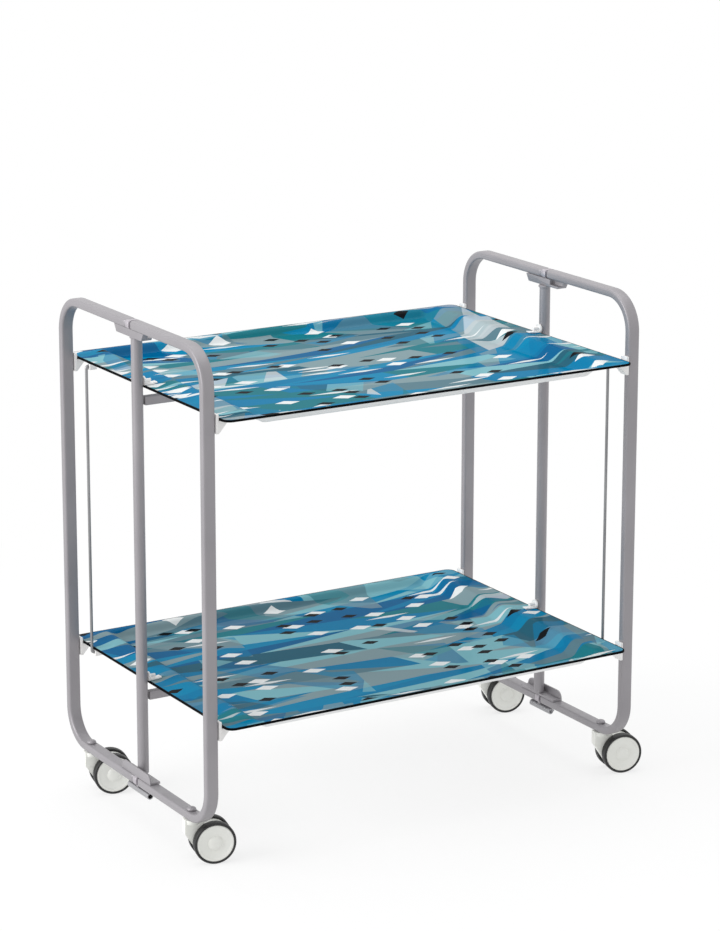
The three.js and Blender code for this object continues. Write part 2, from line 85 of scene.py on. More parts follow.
def makeObject(name, points, faces):
    mesh = bpy.data.meshes.new(name)
    mesh.from_pydata(np.asarray(points, float).reshape(-1, 3).tolist(), [], [list(f) for f in faces])
    bm = bmesh.new()
    bm.from_mesh(mesh)
    bmesh.ops.remove_doubles(bm, verts=bm.verts, dist=meshLook["weld"])
    return settledObject(name, bm, mesh)


# Quads between the rows and columns of a grid; a closed grid joins its last column to its first
def gridFaces(rows, columns, closed):
    last = columns if closed else columns - 1
    here, near = np.meshgrid(np.arange(rows - 1), np.arange(last), indexing="ij")
    far = (near + 1) % columns
    start, after = here * columns, (here + 1) * columns
    return np.stack([start + near, start + far, after + far, after + near], -1).reshape(-1, 4).tolist()


# A solid of revolution: each (radius, height) of the profile turned about an axis
def lathe(name, profile, centre, axis=(0, 0, 1), steps=72):
    profile = np.array(profile, float)
    axis = np.array(Vector(axis).normalized())
    first = np.array(Vector(axis).orthogonal().normalized())
    second = np.cross(axis, first)
    turn = np.linspace(0, 2 * math.pi, steps, endpoint=False)
    ray = np.cos(turn)[:, None] * first + np.sin(turn)[:, None] * second
    points = np.array(centre) + profile[:, None, 0:1] * ray + profile[:, None, 1:2] * axis
    return makeObject(name, points, gridFaces(len(profile), steps, True))


# A tube along a path: each ring stands square to the path and starts where the ring before it does
def tube(name, path, radius, facets=24):
    path = np.array(path, float)
    along = np.gradient(path, axis=0)
    along /= np.linalg.norm(along, axis=1)[:, None]
    helper = (1.0, 0.0, 0.0) if abs(along[0][0]) < meshLook["alongX"] else (0.0, 1.0, 0.0)
    up = np.cross(along[0], helper)
    turn = np.linspace(0, 2 * math.pi, facets, endpoint=False)
    rings = []
    for place, way in zip(path, along):
        up = up - way * np.dot(up, way)
        up /= np.linalg.norm(up)
        side = np.cross(way, up)
        rings.append(place + radius * (np.cos(turn)[:, None] * up + np.sin(turn)[:, None] * side))
    faces = gridFaces(len(path), facets, True)
    faces.append(range(facets))
    faces.append(range((len(path) - 1) * facets, len(path) * facets))
    return makeObject(name, rings, faces)


def sharpen(piece):
    bm = bmesh.new()
    bm.from_mesh(piece.data)
    for edge in bm.edges:
        if len(edge.link_faces) == 2 and edge.calc_face_angle() > meshLook["sharp"]:
            edge.smooth = False
    bm.to_mesh(piece.data)
    bm.free()


def bevel(piece, width):
    made = piece.modifiers.new("bevel", "BEVEL")
    made.width = width
    made.segments = meshLook["bevelSegments"]
    made.limit_method = "ANGLE"
    made.angle_limit = meshLook["bevelFrom"]
    made.harden_normals = True


def finishPiece(piece, body, materials, replaced):
    for made in materials if isinstance(materials, list) else [materials]:
        piece.data.materials.append(made)
    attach(piece, body)
    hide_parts(*replaced)


# A frame node's own shape with its flats made whole and its edges rounded
def refined(node, body, made, width):
    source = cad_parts[node]
    bm = bmesh.new()
    bm.from_mesh(source.data)
    bmesh.ops.remove_doubles(bm, verts=bm.verts, dist=meshLook["nodeWeld"])
    bmesh.ops.dissolve_limit(bm, angle_limit=meshLook["flat"], verts=bm.verts, edges=bm.edges)
    piece = settledObject(node + "_shown", bm, bpy.data.meshes.new(node + "_shown"))
    bevel(piece, width)
    finishPiece(piece, body, made, [node])
    return piece


# Materials. A Num is a number or socket in a node tree, and sums of Nums become Math nodes

class Num:
    def __init__(self, tree, socket):
        self.tree = tree
        self.socket = socket

    def op(self, kind, *others):
        made = self.tree.nodes.new("ShaderNodeMath")
        made.operation = kind
        for i, value in enumerate([self, *others]):
            if isinstance(value, Num):
                self.tree.links.new(value.socket, made.inputs[i])
            else:
                made.inputs[i].default_value = value
        return Num(self.tree, made.outputs[0])

    def __add__(self, other):
        return self.op("ADD", other)

    def __sub__(self, other):
        return self.op("SUBTRACT", other)

    def __mul__(self, other):
        return self.op("MULTIPLY", other)

    def __truediv__(self, other):
        return self.op("DIVIDE", other)

    def floor(self):
        return self.op("FLOOR")

    def fract(self):
        return self.op("FRACT")

    def size(self):
        return self.op("ABSOLUTE")

    def below(self, other):
        return self.op("LESS_THAN", other)

    def above(self, other):
        return self.op("GREATER_THAN", other)


def newMaterial(name):
    made = bpy.data.materials.new(name)
    made.use_nodes = True
    return made, made.node_tree, made.node_tree.nodes["Principled BSDF"]


def objectPlace(tree):
    coords = tree.nodes.new("ShaderNodeTexCoord")
    return coords.outputs["Object"]


def noise(tree, vector, scale, detail, stretch=(1, 1, 1)):
    mapped = tree.nodes.new("ShaderNodeMapping")
    mapped.inputs["Scale"].default_value = stretch
    tree.links.new(vector, mapped.inputs["Vector"])
    made = tree.nodes.new("ShaderNodeTexNoise")
    made.inputs["Scale"].default_value = scale
    made.inputs["Detail"].default_value = detail
    tree.links.new(mapped.outputs[0], made.inputs["Vector"])
    return made.outputs["Fac"]


def ramp(tree, socket, stops, constant=False):
    made = tree.nodes.new("ShaderNodeValToRGB")
    if constant:
        made.color_ramp.interpolation = "CONSTANT"
    elements = made.color_ramp.elements
    while len(elements) < len(stops):
        elements.new(0.5)
    for element, (place, colour) in zip(elements, stops):
        element.position = place
        element.color = (*colour, 1)
    tree.links.new(socket, made.inputs["Fac"])
    return made.outputs["Color"]


def bump(tree, shader, height, strength, distance):
    made = tree.nodes.new("ShaderNodeBump")
    made.inputs["Strength"].default_value = strength
    made.inputs["Distance"].default_value = distance
    tree.links.new(height, made.inputs["Height"])
    tree.links.new(made.outputs["Normal"], shader.inputs["Normal"])


# Roughness from one value to another over part of a noise's range
def roughen(tree, shader, socket, ends, rough):
    stops = [(end, (value,) * 3) for end, value in zip(ends, rough)]
    tree.links.new(ramp(tree, socket, stops), shader.inputs["Roughness"])


screenCurve = {"most": 255, "knee": 0.04045, "slope": 12.92, "lift": 0.055, "power": 2.4}


# Linear light from a colour's screen values
def screenColour(red, green, blue):
    curve = screenCurve
    share = np.array([red, green, blue]) / curve["most"]
    curved = ((share + curve["lift"]) / (1 + curve["lift"])) ** curve["power"]
    return tuple(np.where(share <= curve["knee"], share / curve["slope"], curved).tolist())


plainLook = {
    "slowScale": 14,
    "slowDetail": 2,
    "fineDetail": 3,
    "ends": (0.3, 0.7),  # of the noises' range, where the tints and the roughness stop changing
    "coatRough": 0.25,
    "skinDeep": 0.04 * mm,
}


# A plain finish: two close tints over a slow noise, roughness over a finer one, and a fine skin
def plainFinish(name, tints, rough, metal=0.0, coat=0.0, grain=900, skin=0.15, stretch=(1, 1, 1)):
    look = plainLook
    made, tree, shader = newMaterial(name)
    place = objectPlace(tree)
    slow = noise(tree, place, look["slowScale"], look["slowDetail"])
    fine = noise(tree, place, grain, look["fineDetail"], stretch)
    tintStops = [(end, screenColour(*tint)) for end, tint in zip(look["ends"], tints)]
    tree.links.new(ramp(tree, slow, tintStops), shader.inputs["Base Color"])
    roughen(tree, shader, fine, look["ends"], rough)
    shader.inputs["Metallic"].default_value = metal
    shader.inputs["Coat Weight"].default_value = coat
    shader.inputs["Coat Roughness"].default_value = look["coatRough"]
    bump(tree, shader, fine, skin, look["skinDeep"])
    return made


drawnGrain = (1, 1, 0.05)  # stretched along an upright wire
framePaint = plainFinish("silver_paint", ((149, 146, 150), (157, 154, 158)), (0.36, 0.5),
                         metal=0.3, coat=0.1)
# A paler copy of the silver paint: a painted highlight on the filling between the bows' ends
seamHighlightPaint = plainFinish("paint_with_painted_highlight", ((176, 171, 177), (184, 179, 185)), (0.36, 0.5),
                        metal=0.3, coat=0.1)
whitePlastic = plainFinish("white_moulding", ((242, 241, 240), (249, 248, 247)), (0.36, 0.5))
greyPlastic = plainFinish("pale_grey_moulding", ((238, 239, 233), (244, 245, 240)), (0.34, 0.48),
                          coat=0.1)
tyreRubber = plainFinish("black_tyre", ((20, 20, 21), (30, 30, 31)), (0.42, 0.6),
                         grain=1400, skin=0.3)
wireSteel = plainFinish("bright_wire", ((168, 168, 171), (186, 186, 189)), (0.28, 0.4),
                        metal=0.9, stretch=drawnGrain)
rodSteel = plainFinish("rod_wire", ((136, 136, 138), (152, 152, 154)), (0.3, 0.42),
                       metal=0.9, stretch=drawnGrain)
whiteUnder = plainFinish("white_underside", ((240, 242, 242), (247, 248, 248)), (0.4, 0.5))
blackEdge = plainFinish("black_edge", ((6, 8, 10), (12, 14, 17)), (0.5, 0.6))
blackEdge.node_tree.nodes["Principled BSDF"].inputs["Specular IOR Level"].default_value = 0.02

printLook = {
    "wave": 13 * mm,
    "waveTurn": 9.0,  # radians to a metre
    "coverShare": 0.4,
    "coverStrength": 0.62,
    "rough": (0.14, 0.22),
    "smudgeScale": 30,
    "smudgeDetail": 3,
    "smudgeEnds": (0.3, 0.8),
    "coat": 0.14,
    "coatRough": 0.12,
    "swellScale": 45,
    "swellDetail": 1,
    "swell": 0.1,
    "swellDeep": 0.2 * mm,
}

# Three fields of shards: how each leans along and across, and how large its shards are. The
# cover's random values say where the over field hides the ground
shardLook = {
    "ground": {"leanX": 0.0, "leanY": 0.0, "high": 44 * mm, "long": 180 * mm, "seed": 0.0},
    "over": {"leanX": 0.6, "leanY": -0.35, "high": 92 * mm, "long": 84 * mm, "seed": 4.0},
    "cover": {"leanX": -0.4, "leanY": 0.25, "high": 92 * mm, "long": 180 * mm, "seed": 5.0},
}
shardCut = {
    "slip": 7.0,  # rows are shifted by up to this many shards
    "slipSeed": 1.5,
    "lean": 0.9,
    "splitFrom": 0.1,
    "splitRise": 0.8,
    "splitSeed": 3.0,
}

# Lozenges on top: long pale streaks, pale lozenges and dark ones
strewnLook = {
    "streaks": {
        "lean": 0.8,
        "moveX": 0.0,
        "moveY": 0.0,
        "wide": 150 * mm,
        "high": 17 * mm,
        "share": 0.24,
        "seed": 20.0,
        "colour": (218, 223, 224),
    },
    "pale": {
        "lean": 0.0,
        "moveX": 0.0,
        "moveY": 0.0,
        "wide": 72 * mm,
        "high": 38 * mm,
        "share": 0.3,
        "seed": 30.0,
        "colour": (228, 231, 231),
    },
    "dark": {
        "lean": 0.0,
        "moveX": 17 * mm,
        "moveY": -11 * mm,
        "wide": 57.6 * mm,
        "high": 30.4 * mm,
        "share": 0.3,
        "seed": 40.0,
        "colour": (8, 13, 18),
    },
}
strewnCell = {"half": 0.24, "wander": 0.5, "seedX": 1.0, "seedY": 2.0}

inks = [
    (0.0, (0, 118, 162)),
    (0.15, (0, 94, 142)),
    (0.24, (24, 116, 128)),
    (0.35, (122, 178, 188)),
    (0.49, (88, 122, 134)),
    (0.61, (126, 150, 156)),
    (0.73, (34, 92, 112)),
    (0.8, (0, 128, 170)),
    (0.94, (206, 212, 214)),
]


def cellRandom(tree, first, second, third):
    joined = tree.nodes.new("ShaderNodeCombineXYZ")
    for i, value in enumerate((first, second, third)):
        if isinstance(value, Num):
            tree.links.new(value.socket, joined.inputs[i])
        else:
            joined.inputs[i].default_value = value
    made = tree.nodes.new("ShaderNodeTexWhiteNoise")
    tree.links.new(joined.outputs[0], made.inputs["Vector"])
    return Num(tree, made.outputs["Value"])


# Rows of slanted shards: each row slips along, leans one way or the other, and a slope splits
# each shard in two. Returns a random value for each piece
def shards(tree, x, y, high, long, seed):
    cut = shardCut
    row = (y / high).floor()
    inRow = (y / high).fract()
    slip = cellRandom(tree, row, seed, cut["slipSeed"])
    across = x / long + slip * cut["slip"]
    lean = slip.above(0.5) * 2.0 - 1.0
    slanted = across + lean * (inRow - 0.5) * cut["lean"]
    half = slanted.fract().above(inRow * cut["splitRise"] + cut["splitFrom"])
    return cellRandom(tree, slanted.floor(), row, half * cut["splitSeed"] + seed)


# Lozenges strewn one to a cell at most, each moved about inside its cell; returns where they lie
def strewn(tree, x, y, wide, high, share, seed):
    cell = strewnCell
    u = x / wide
    v = y / high
    column, row = u.floor(), v.floor()
    moveX = (cellRandom(tree, column, row, seed + cell["seedX"]) - 0.5) * cell["wander"]
    moveY = (cellRandom(tree, column, row, seed + cell["seedY"]) - 0.5) * cell["wander"]
    offset = (u.fract() - 0.5 - moveX).size() + (v.fract() - 0.5 - moveY).size()
    return offset.below(cell["half"]) * cellRandom(tree, column, row, seed).below(share)


def overlay(tree, factor, under, over):
    made = tree.nodes.new("ShaderNodeMix")
    made.data_type = "RGBA"
    for value, key in ((factor, "Factor"), (under, "A"), (over, "B")):
        if isinstance(value, Num):
            tree.links.new(value.socket, made.inputs[key])
        elif isinstance(value, tuple):
            made.inputs[key].default_value = (*value, 1)
        else:
            tree.links.new(value, made.inputs[key])
    return made.outputs["Result"]


# The print: shards over shards on a slow wave, then the streaks and lozenges, under a clear coat
def printedLaminate(name, seed):
    look = printLook
    made, tree, shader = newMaterial(name)
    place = objectPlace(tree)
    parts = tree.nodes.new("ShaderNodeSeparateXYZ")
    tree.links.new(place, parts.inputs[0])
    x = Num(tree, parts.outputs["X"])
    y = Num(tree, parts.outputs["Y"])
    bent = y + (x * look["waveTurn"] + seed).op("SINE") * look["wave"]
    fields = {}
    for kind, field in shardLook.items():
        along = x + bent * field["leanX"]
        across = bent + x * field["leanY"]
        fields[kind] = shards(tree, along, across, field["high"], field["long"], seed + field["seed"])
    inkStops = [(stop, screenColour(*ink)) for stop, ink in inks]
    ground = ramp(tree, fields["ground"].socket, inkStops, True)
    over = ramp(tree, fields["over"].socket, inkStops, True)
    covered = fields["cover"].below(look["coverShare"]) * look["coverStrength"]
    colour = overlay(tree, covered, ground, over)
    for sort in strewnLook.values():
        along = x + bent * sort["lean"] + sort["moveX"]
        across = bent + sort["moveY"]
        sortSeed = seed + sort["seed"]
        lies = strewn(tree, along, across, sort["wide"], sort["high"], sort["share"], sortSeed)
        colour = overlay(tree, lies, colour, screenColour(*sort["colour"]))
    tree.links.new(colour, shader.inputs["Base Color"])
    smudge = noise(tree, place, look["smudgeScale"], look["smudgeDetail"])
    roughen(tree, shader, smudge, look["smudgeEnds"], look["rough"])
    shader.inputs["Specular IOR Level"].default_value = 0.0
    shader.inputs["Coat Weight"].default_value = look["coat"]
    shader.inputs["Coat Roughness"].default_value = look["coatRough"]
    swell = noise(tree, place, look["swellScale"], look["swellDetail"])
    bump(tree, shader, swell, look["swell"], look["swellDeep"])
    return made


printSeeds = {"upper": 2.0, "lower": 7.0}
trayPrint = {level: printedLaminate("printed_laminate_" + level, printSeeds[level]) for level in levels}
print("materials made")

# Bows: a rounded section swept round the frame's corners, its ends turned about the hinges
bowLook = {
    "thick": 11 * mm,
    "corner": 3 * mm,
    "bend": 46 * mm,
    "hinge": 12 * mm,  # from the middle to the hinge's axis
    "cornerSteps": 6,
    "bendSteps": 20,
    "hingeSteps": 10,
}


# A rounded rectangle: a quarter turn of points about the centre of each corner's round
def roundedSection(width, height, corner, steps):
    turn = np.linspace(0, math.pi / 2, steps)
    points = []
    for k, (signX, signY) in enumerate([(1, -1), (1, 1), (-1, 1), (-1, -1)]):
        angle = turn + (k - 1) * math.pi / 2
        points.append(np.stack([signX * (width / 2 - corner) + corner * np.cos(angle),
                                signY * (height / 2 - corner) + corner * np.sin(angle)], -1))
    return np.concatenate(points)


# A hinge end, a half round: the section is swung by an angle about the hinge, and its two halves
# swing alike, so that they meet at a quarter turn
def hingeEnd(wide, swing, height):
    y = bowLook["hinge"] - np.abs(wide) * np.sin(swing)
    return np.stack(np.broadcast_arrays(wide * np.cos(swing), y, height), -1)


# A bow: the section is carried along the top run, two quarter bends with the leg between them
# and the bottom run, turning from facing up to facing down on the way
def bowPoints(signX, signY):
    look = bowLook
    bend = look["bend"]
    hinge = [look["hinge"]]
    wide, thick = roundedSection(tubeWide, look["thick"], look["corner"], look["cornerSteps"]).T
    highZ = frameTop - look["thick"] / 2
    lowZ = runFoot + look["thick"] / 2
    bendY = outerY - look["thick"] / 2 - bend
    upper = np.linspace(0, math.pi / 2, look["bendSteps"])
    lower = np.linspace(math.pi / 2, math.pi, look["bendSteps"])
    turn = np.concatenate([[0], upper, lower, [math.pi]])[:, None]
    pathY = np.concatenate([hinge, bendY + bend * np.sin(upper), bendY + bend * np.sin(lower), hinge])
    highBend = highZ - bend + bend * np.cos(upper)
    lowBend = lowZ + bend + bend * np.cos(lower)
    pathZ = np.concatenate([[highZ], highBend, lowBend, [lowZ]])
    y = pathY[:, None] + thick * np.sin(turn)
    z = pathZ[:, None] + thick * np.cos(turn)
    run = np.stack(np.broadcast_arrays(wide, y, z), -1)
    swing = np.linspace(math.pi / 2, 0, look["hingeSteps"])[:-1, None]
    topEnd = hingeEnd(wide, swing, highZ + thick)
    footEnd = hingeEnd(wide, swing[::-1], lowZ - thick)
    points = np.concatenate([topEnd, run, footEnd])
    points[..., 0] = middleX + signX * (legX + points[..., 0])
    points[..., 1] *= signY
    return points


for place, signX, signY in corners:
    points = bowPoints(signX, signY)
    bow = makeObject("bow_tube_" + place, points, gridFaces(points.shape[0], points.shape[1], True))
    finishPiece(bow, place + "_bow", framePaint, ["bow_" + place])
print("bows made")

# Trays: height is a rule of the distance in from the edges, on a fine grid closed round its rim
trayLook = {
    "corner": 12 * mm,
    "drop": 11 * mm,
    "rise": 3.5 * mm,
    "flat": 8 * mm,  # this and the next three are distances in from an edge
    "crest": 40 * mm,
    "foot": 66 * mm,
    "sideFoot": 20 * mm,
    "wall": 3 * mm,
    "edge": 2.2 * mm,  # the black band round the rim
    "ease": 0.9 * mm,  # the rim's rounding
}

# Stations of the grid, in millimetres in from an edge: close at the rim and even past it. The
# floor between has a count of them
gridLook = {
    "rim": [0, 0.4, 1.0, 2.2, 4],
    "evenFrom": 6,
    "evenStep": 2.5,
    "evenEndX": 72,
    "evenEndY": 26,
    "centre": 60,
}


# A share of the way from start to end, eased at both into an S: three squares less two cubes
def smoothStep(start, end, x):
    t = np.clip((x - start) / (end - start), 0, 1)
    return t * t * (3 - 2 * t)


# Places across the tray: the rim's stations at both ends, mirrored, and even steps between them
def trayStations(half, evenEnd):
    even = np.arange(gridLook["evenFrom"], evenEnd, gridLook["evenStep"])
    first = np.concatenate([gridLook["rim"], even]) * mm - half
    centre = np.linspace(first[-1], -first[-1], gridLook["centre"])[1:-1]
    return np.concatenate([first, centre, -first[::-1]])


# Height over the rim: up to a crest and down to the tray's floor with the distance in from an
# end, and all of it fading out towards the long sides
def trayHeight(fromEnd, fromSide):
    look = trayLook
    swell = look["rise"] * smoothStep(look["flat"], look["crest"], fromEnd)
    fall = (look["rise"] + look["drop"]) * smoothStep(look["crest"], look["foot"], fromEnd)
    return (swell - fall) * smoothStep(look["flat"], look["sideFoot"], fromSide)


# Square corners drawn in to round ones: a point keeps its direction from the centre of the round
# and ends as far from it as the larger of its two offsets
def roundedPlan(x, y, halfX, halfY):
    corner = trayLook["corner"]
    centreX = np.clip(x, corner - halfX, halfX - corner)
    centreY = np.clip(y, corner - halfY, halfY - corner)
    offX, offY = x - centreX, y - centreY
    long = np.hypot(offX, offY)
    larger = np.maximum(np.abs(offX), np.abs(offY))
    pull = np.divide(larger, long, out=np.ones_like(long), where=long > 0)
    return centreX + offX * pull, centreY + offY * pull


# Faces of a closed sheet: the top grid, the same grid turned over below, and a wall round the rim
def sheetFaces(rows, columns):
    count = rows * columns
    top = np.array(gridFaces(rows, columns, False))
    index = np.arange(count).reshape(rows, columns)
    edge = np.concatenate([index[::-1, 0], index[0, 1:], index[1:, -1], index[-1, -2:0:-1]])
    after = np.roll(edge, -1)
    wall = np.stack([edge, after, count + after, count + edge], -1)
    return np.concatenate([top, count + top[:, ::-1], wall]).tolist()


# One vector of each face, such as its centre, as an array of rows
def faceValues(polygons, key):
    values = np.empty(3 * len(polygons), np.float32)
    polygons.foreach_get(key, values)
    return values.reshape(-1, 3).astype(float)


# The print stays on top, the rim's edge is black all round and the underside is white
def paintTray(tray, halfX, halfY):
    corner = trayLook["corner"]
    polygons = tray.data.polygons
    centres = faceValues(polygons, "center")
    insetX = halfX - np.abs(centres[:, 0] - middleX)
    insetY = halfY - np.abs(centres[:, 1])
    inRound = corner - np.hypot(corner - insetX, corner - insetY)
    inCorner = (insetX < corner) & (insetY < corner)
    inset = np.where(inCorner, inRound, np.minimum(insetX, insetY))
    below = faceValues(polygons, "normal")[:, 2] < 0
    index = np.select([inset < trayLook["edge"], below], [1, 2], 0)
    polygons.foreach_set("material_index", index.astype(np.int32))


def makeTray(level):
    look = trayLook
    ease = look["ease"]
    low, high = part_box("tray_" + level)
    halfX = (high.x - low.x) / 2
    halfY = (high.y - low.y) / 2
    x, y = np.meshgrid(trayStations(halfX, gridLook["evenEndX"]),
                       trayStations(halfY, gridLook["evenEndY"]), indexing="ij")
    fromEnd = halfX - np.abs(x)
    fromSide = halfY - np.abs(y)
    rim = np.minimum(fromEnd, fromSide)
    roundOff = ease - np.sqrt(np.maximum(ease ** 2 - (ease - np.minimum(rim, ease)) ** 2, 0))
    planX, planY = roundedPlan(x, y, halfX, halfY)
    topZ = high.z - look["rise"] + trayHeight(fromEnd, fromSide)
    top = np.stack([planX + middleX, planY, topZ - roundOff], -1)
    under = np.stack([planX + middleX, planY, topZ - look["wall"] + roundOff], -1)
    points = np.concatenate([top.reshape(-1, 3), under.reshape(-1, 3)])
    tray = makeObject("tray_sheet_" + level, points, sheetFaces(*x.shape))
    materials = [trayPrint[level], blackEdge, whiteUnder]
    finishPiece(tray, level + "_tray", materials, ["tray_" + level])
    paintTray(tray, halfX, halfY)


for level in levels:
    makeTray(level)
print("trays made")

# Posts: turned tube with a collar under the top hinge
postLook = {
    "radius": 7.5 * mm,
    "fromMiddle": 317 * mm,
    "collar": 9 * mm,
    "collarHigh": 3 * mm,
    "ease": 0.6 * mm,
    "around": 48,
}
for side, signX in sides:
    low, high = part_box("post_" + side)
    radius, collar, ease = postLook["radius"], postLook["collar"], postLook["ease"]
    collarFoot = high.z - postLook["collarHigh"]
    profile = [(0, low.z), (radius - ease, low.z), (radius, low.z + ease), (radius, collarFoot),
               (collar - ease, collarFoot), (collar, collarFoot + ease), (collar, high.z - ease),
               (collar - ease, high.z), (0, high.z)]
    centre = (middleX + signX * postLook["fromMiddle"], 0, 0)
    post = lathe("post_tube_" + side, profile, centre, steps=postLook["around"])
    sharpen(post)
    finishPiece(post, "base", framePaint, ["post_" + side])
print("posts made")

# Fittings with rounded edges. The hinge fittings are painted, and the filling between the bows' ends
# takes a paler copy of the paint: a painted highlight for the light seam there
roundings = {
    "fitting": 0.5 * mm,
    "beam": 1.2 * mm,
    "clip": 0.5 * mm,
    "pivot": 0.3 * mm,
    "rodBlock": 0.5 * mm,
    "caster": 0.8 * mm,
}
fillingSlack = 0.1 * mm
fillings = {
    "top_fitting_": (frameTop - bowLook["thick"], frameTop),
    "bottom_fitting_": (runFoot, runFoot + bowLook["thick"]),
}
for side in sideNames:
    for node, (least, most) in fillings.items():
        fitting = refined(node + side, "base", [framePaint, seamHighlightPaint], roundings["fitting"])
        # The filling's faces take the paler copy of the paint, a painted highlight
        for face in fitting.data.polygons:
            if least - fillingSlack < face.center.z < most + fillingSlack:
                face.material_index = 1
for level in levels:
    body = level + "_tray"
    refined("beam_" + level, body, framePaint, roundings["beam"])
    for place in cornerNames:
        refined("clip_" + level + "_" + place, body, whitePlastic, roundings["clip"])
    for side in sideNames:
        end = level + "_" + side
        refined("pivot_" + end, body, whitePlastic, roundings["pivot"])
        refined("rod_block_" + end, body, whitePlastic, roundings["rodBlock"])
print("fittings refined")

# Link rods: an upright wire with a rounded hook at each end
rodLook = {"radius": 2 * mm, "bend": 3.2 * mm, "bendSteps": 12}
for side, signX in sides:
    low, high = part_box("rod_" + side)
    radius, bend = rodLook["radius"], rodLook["bend"]
    outX = (low.x + radius) if signX < 0 else (high.x - radius)
    tipX = high.x if signX < 0 else low.x
    turn = np.linspace(0, math.pi / 2, rodLook["bendSteps"])
    inX = outX - signX * bend
    y = (low.y + high.y) / 2
    levelY = np.full(len(turn), y)
    topZ, footZ = high.z - radius, low.z + radius
    upperBend = np.stack([inX + signX * bend * np.sin(turn), levelY,
                          topZ - bend + bend * np.cos(turn)], -1)
    lowerBend = np.stack([inX + signX * bend * np.cos(turn), levelY,
                          footZ + bend - bend * np.sin(turn)], -1)
    path = np.concatenate([[(tipX, y, topZ)], upperBend, lowerBend, [(tipX, y, footZ)]])
    rod = tube("rod_wire_" + side, path, radius)
    finishPiece(rod, side + "_rod", rodSteel, ["rod_" + side])

# Springs: an open coil on the right, a plain sleeve on the left
coilLook = {
    "turns": 21,
    "steps": 28,
    "wire": 0.85 * mm,
    "radius": 3.9 * mm,
    "long": 50 * mm,
    "facets": 10,
}
low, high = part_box("spring_coil")
centre = (low + high) / 2
turn = np.linspace(0, 2 * math.pi * coilLook["turns"], coilLook["turns"] * coilLook["steps"] + 1)
path = np.stack([centre.x + coilLook["radius"] * np.cos(turn),
                 coilLook["long"] * (turn / turn[-1] - 0.5),
                 centre.z + coilLook["radius"] * np.sin(turn)], -1)
coil = tube("spring_wire", path, coilLook["wire"], coilLook["facets"])
finishPiece(coil, "base", wireSteel, ["spring_coil"])

sleeveLook = {"bore": 3.3 * mm, "ease": 0.3 * mm, "around": 48}
low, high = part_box("spring_sleeve")
centre = (low + high) / 2
half = (high.y - low.y) / 2
bore, outer, ease = sleeveLook["bore"], (high.z - low.z) / 2, sleeveLook["ease"]
profile = [(bore, -half), (outer - ease, -half), (outer, -half + ease), (outer, half - ease),
           (outer - ease, half), (bore, half), (bore, -half)]
sleeve = lathe("spring_cover", profile, centre, (0, 1, 0), sleeveLook["around"])
sharpen(sleeve)
finishPiece(sleeve, "base", wireSteel, ["spring_sleeve"])
print("rods and springs made")

# Casters: wheels turned about the axle, the drum housing between them
wheelLook = {
    "radius": 28 * mm,
    "tyreInner": 24.9 * mm,
    "disc": 24.6 * mm,
    "inner": 7.2 * mm,
    "outer": 18.9 * mm,
    "boss": 10 * mm,
    "axle": 3 * mm,
    "turn": math.radians(-13),  # the casters stand swivelled, as photographed
    "around": 96,
}
axle = (-math.sin(wheelLook["turn"]), math.cos(wheelLook["turn"]), 0)

# Steps of the wheel's outline, in millimetres: out from a named radius, and along the axle from
# one of the wheel's faces
wheelSteps = {
    "cap": [(0, -0.1), (4, -0.2)],
    "groove": [(-2.2, -0.8), (-1.2, -1.6), (-0.6, -2.8), (0.4, -3.1), (1.4, -2.6)],
    "rim": [(-5, -1.7), (-3.6, -1.5), (-3, -0.9), (-2, -0.6), (-0.8, -0.7), (0, -1.3)],
    "back": [(0, 0.5), (-0.5, 0)],
    "treadBack": [(-0.8, 0), (-0.2, 0.4), (0, 1.2)],
    "treadFront": [(0, -2.4), (-0.3, -1.3), (-1, -0.5), (-2, -0.2)],
    "lip": [(0.2, -0.4), (0, -0.8)],
}


# The steps of one stretch, measured from a radius and a face
def stepped(kind, radius, face):
    return [(radius + out * mm, face + along * mm) for out, along in wheelSteps[kind]]


# Half a hub, on either side: over the boss, its groove, the disc and its rim, then in to the axle
def hubProfile(sign):
    look = wheelLook
    inner, outer = look["inner"], look["outer"]
    points = stepped("cap", 0, outer) + stepped("groove", look["boss"], outer)
    points += stepped("rim", look["disc"], outer) + stepped("back", look["disc"], inner)
    points += [(look["axle"], inner), (look["axle"], 0)]
    return [(radius, sign * height) for radius, height in points]


# A tyre: a closed ring with round shoulders, its inner edge just outside the disc
def tyreProfile(sign):
    look = wheelLook
    inner, outer = look["inner"], look["outer"]
    root = (look["tyreInner"], inner)
    points = [root] + stepped("treadBack", look["radius"], inner)
    points += stepped("treadFront", look["radius"], outer) + stepped("lip", look["tyreInner"], outer)
    points.append(root)
    return [(radius, sign * height) for radius, height in points]


# The stud's head: a short upright rim under a dome
studLook = {"rimShare": 0.3, "domeSteps": 10, "around": 40}


def makeStud(place):
    low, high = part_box("stud_" + place)
    centre = ((low.x + high.x) / 2, (low.y + high.y) / 2, low.z)
    radius, height = (high.x - low.x) / 2, high.z - low.z
    rim = height * studLook["rimShare"]
    turn = np.linspace(0, math.pi / 2, studLook["domeSteps"])
    dome = np.stack([radius * np.cos(turn), rim + (height - rim) * np.sin(turn)], -1)
    profile = np.concatenate([[(0, 0), (radius, 0)], dome])
    stud = lathe("stud_head_" + place, profile, centre, steps=studLook["around"])
    finishPiece(stud, place + "_bow", framePaint, ["stud_" + place])


def makeWheels(place):
    low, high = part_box("tyre_far_" + place)
    nearLow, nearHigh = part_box("tyre_near_" + place)
    centre = (low + high + nearLow + nearHigh) / 4
    body = place + "_wheels"
    profile = hubProfile(-1) + hubProfile(1)[::-1]
    hub = lathe("wheel_pair_" + place, profile, centre, axle, wheelLook["around"])
    finishPiece(hub, body, greyPlastic, ["wheels_" + place])
    for side, sign in (("near", -1), ("far", 1)):
        name = side + "_" + place
        tyre = lathe("tyre_ring_" + name, tyreProfile(sign), centre, axle, wheelLook["around"])
        finishPiece(tyre, body, tyreRubber, ["tyre_" + name])


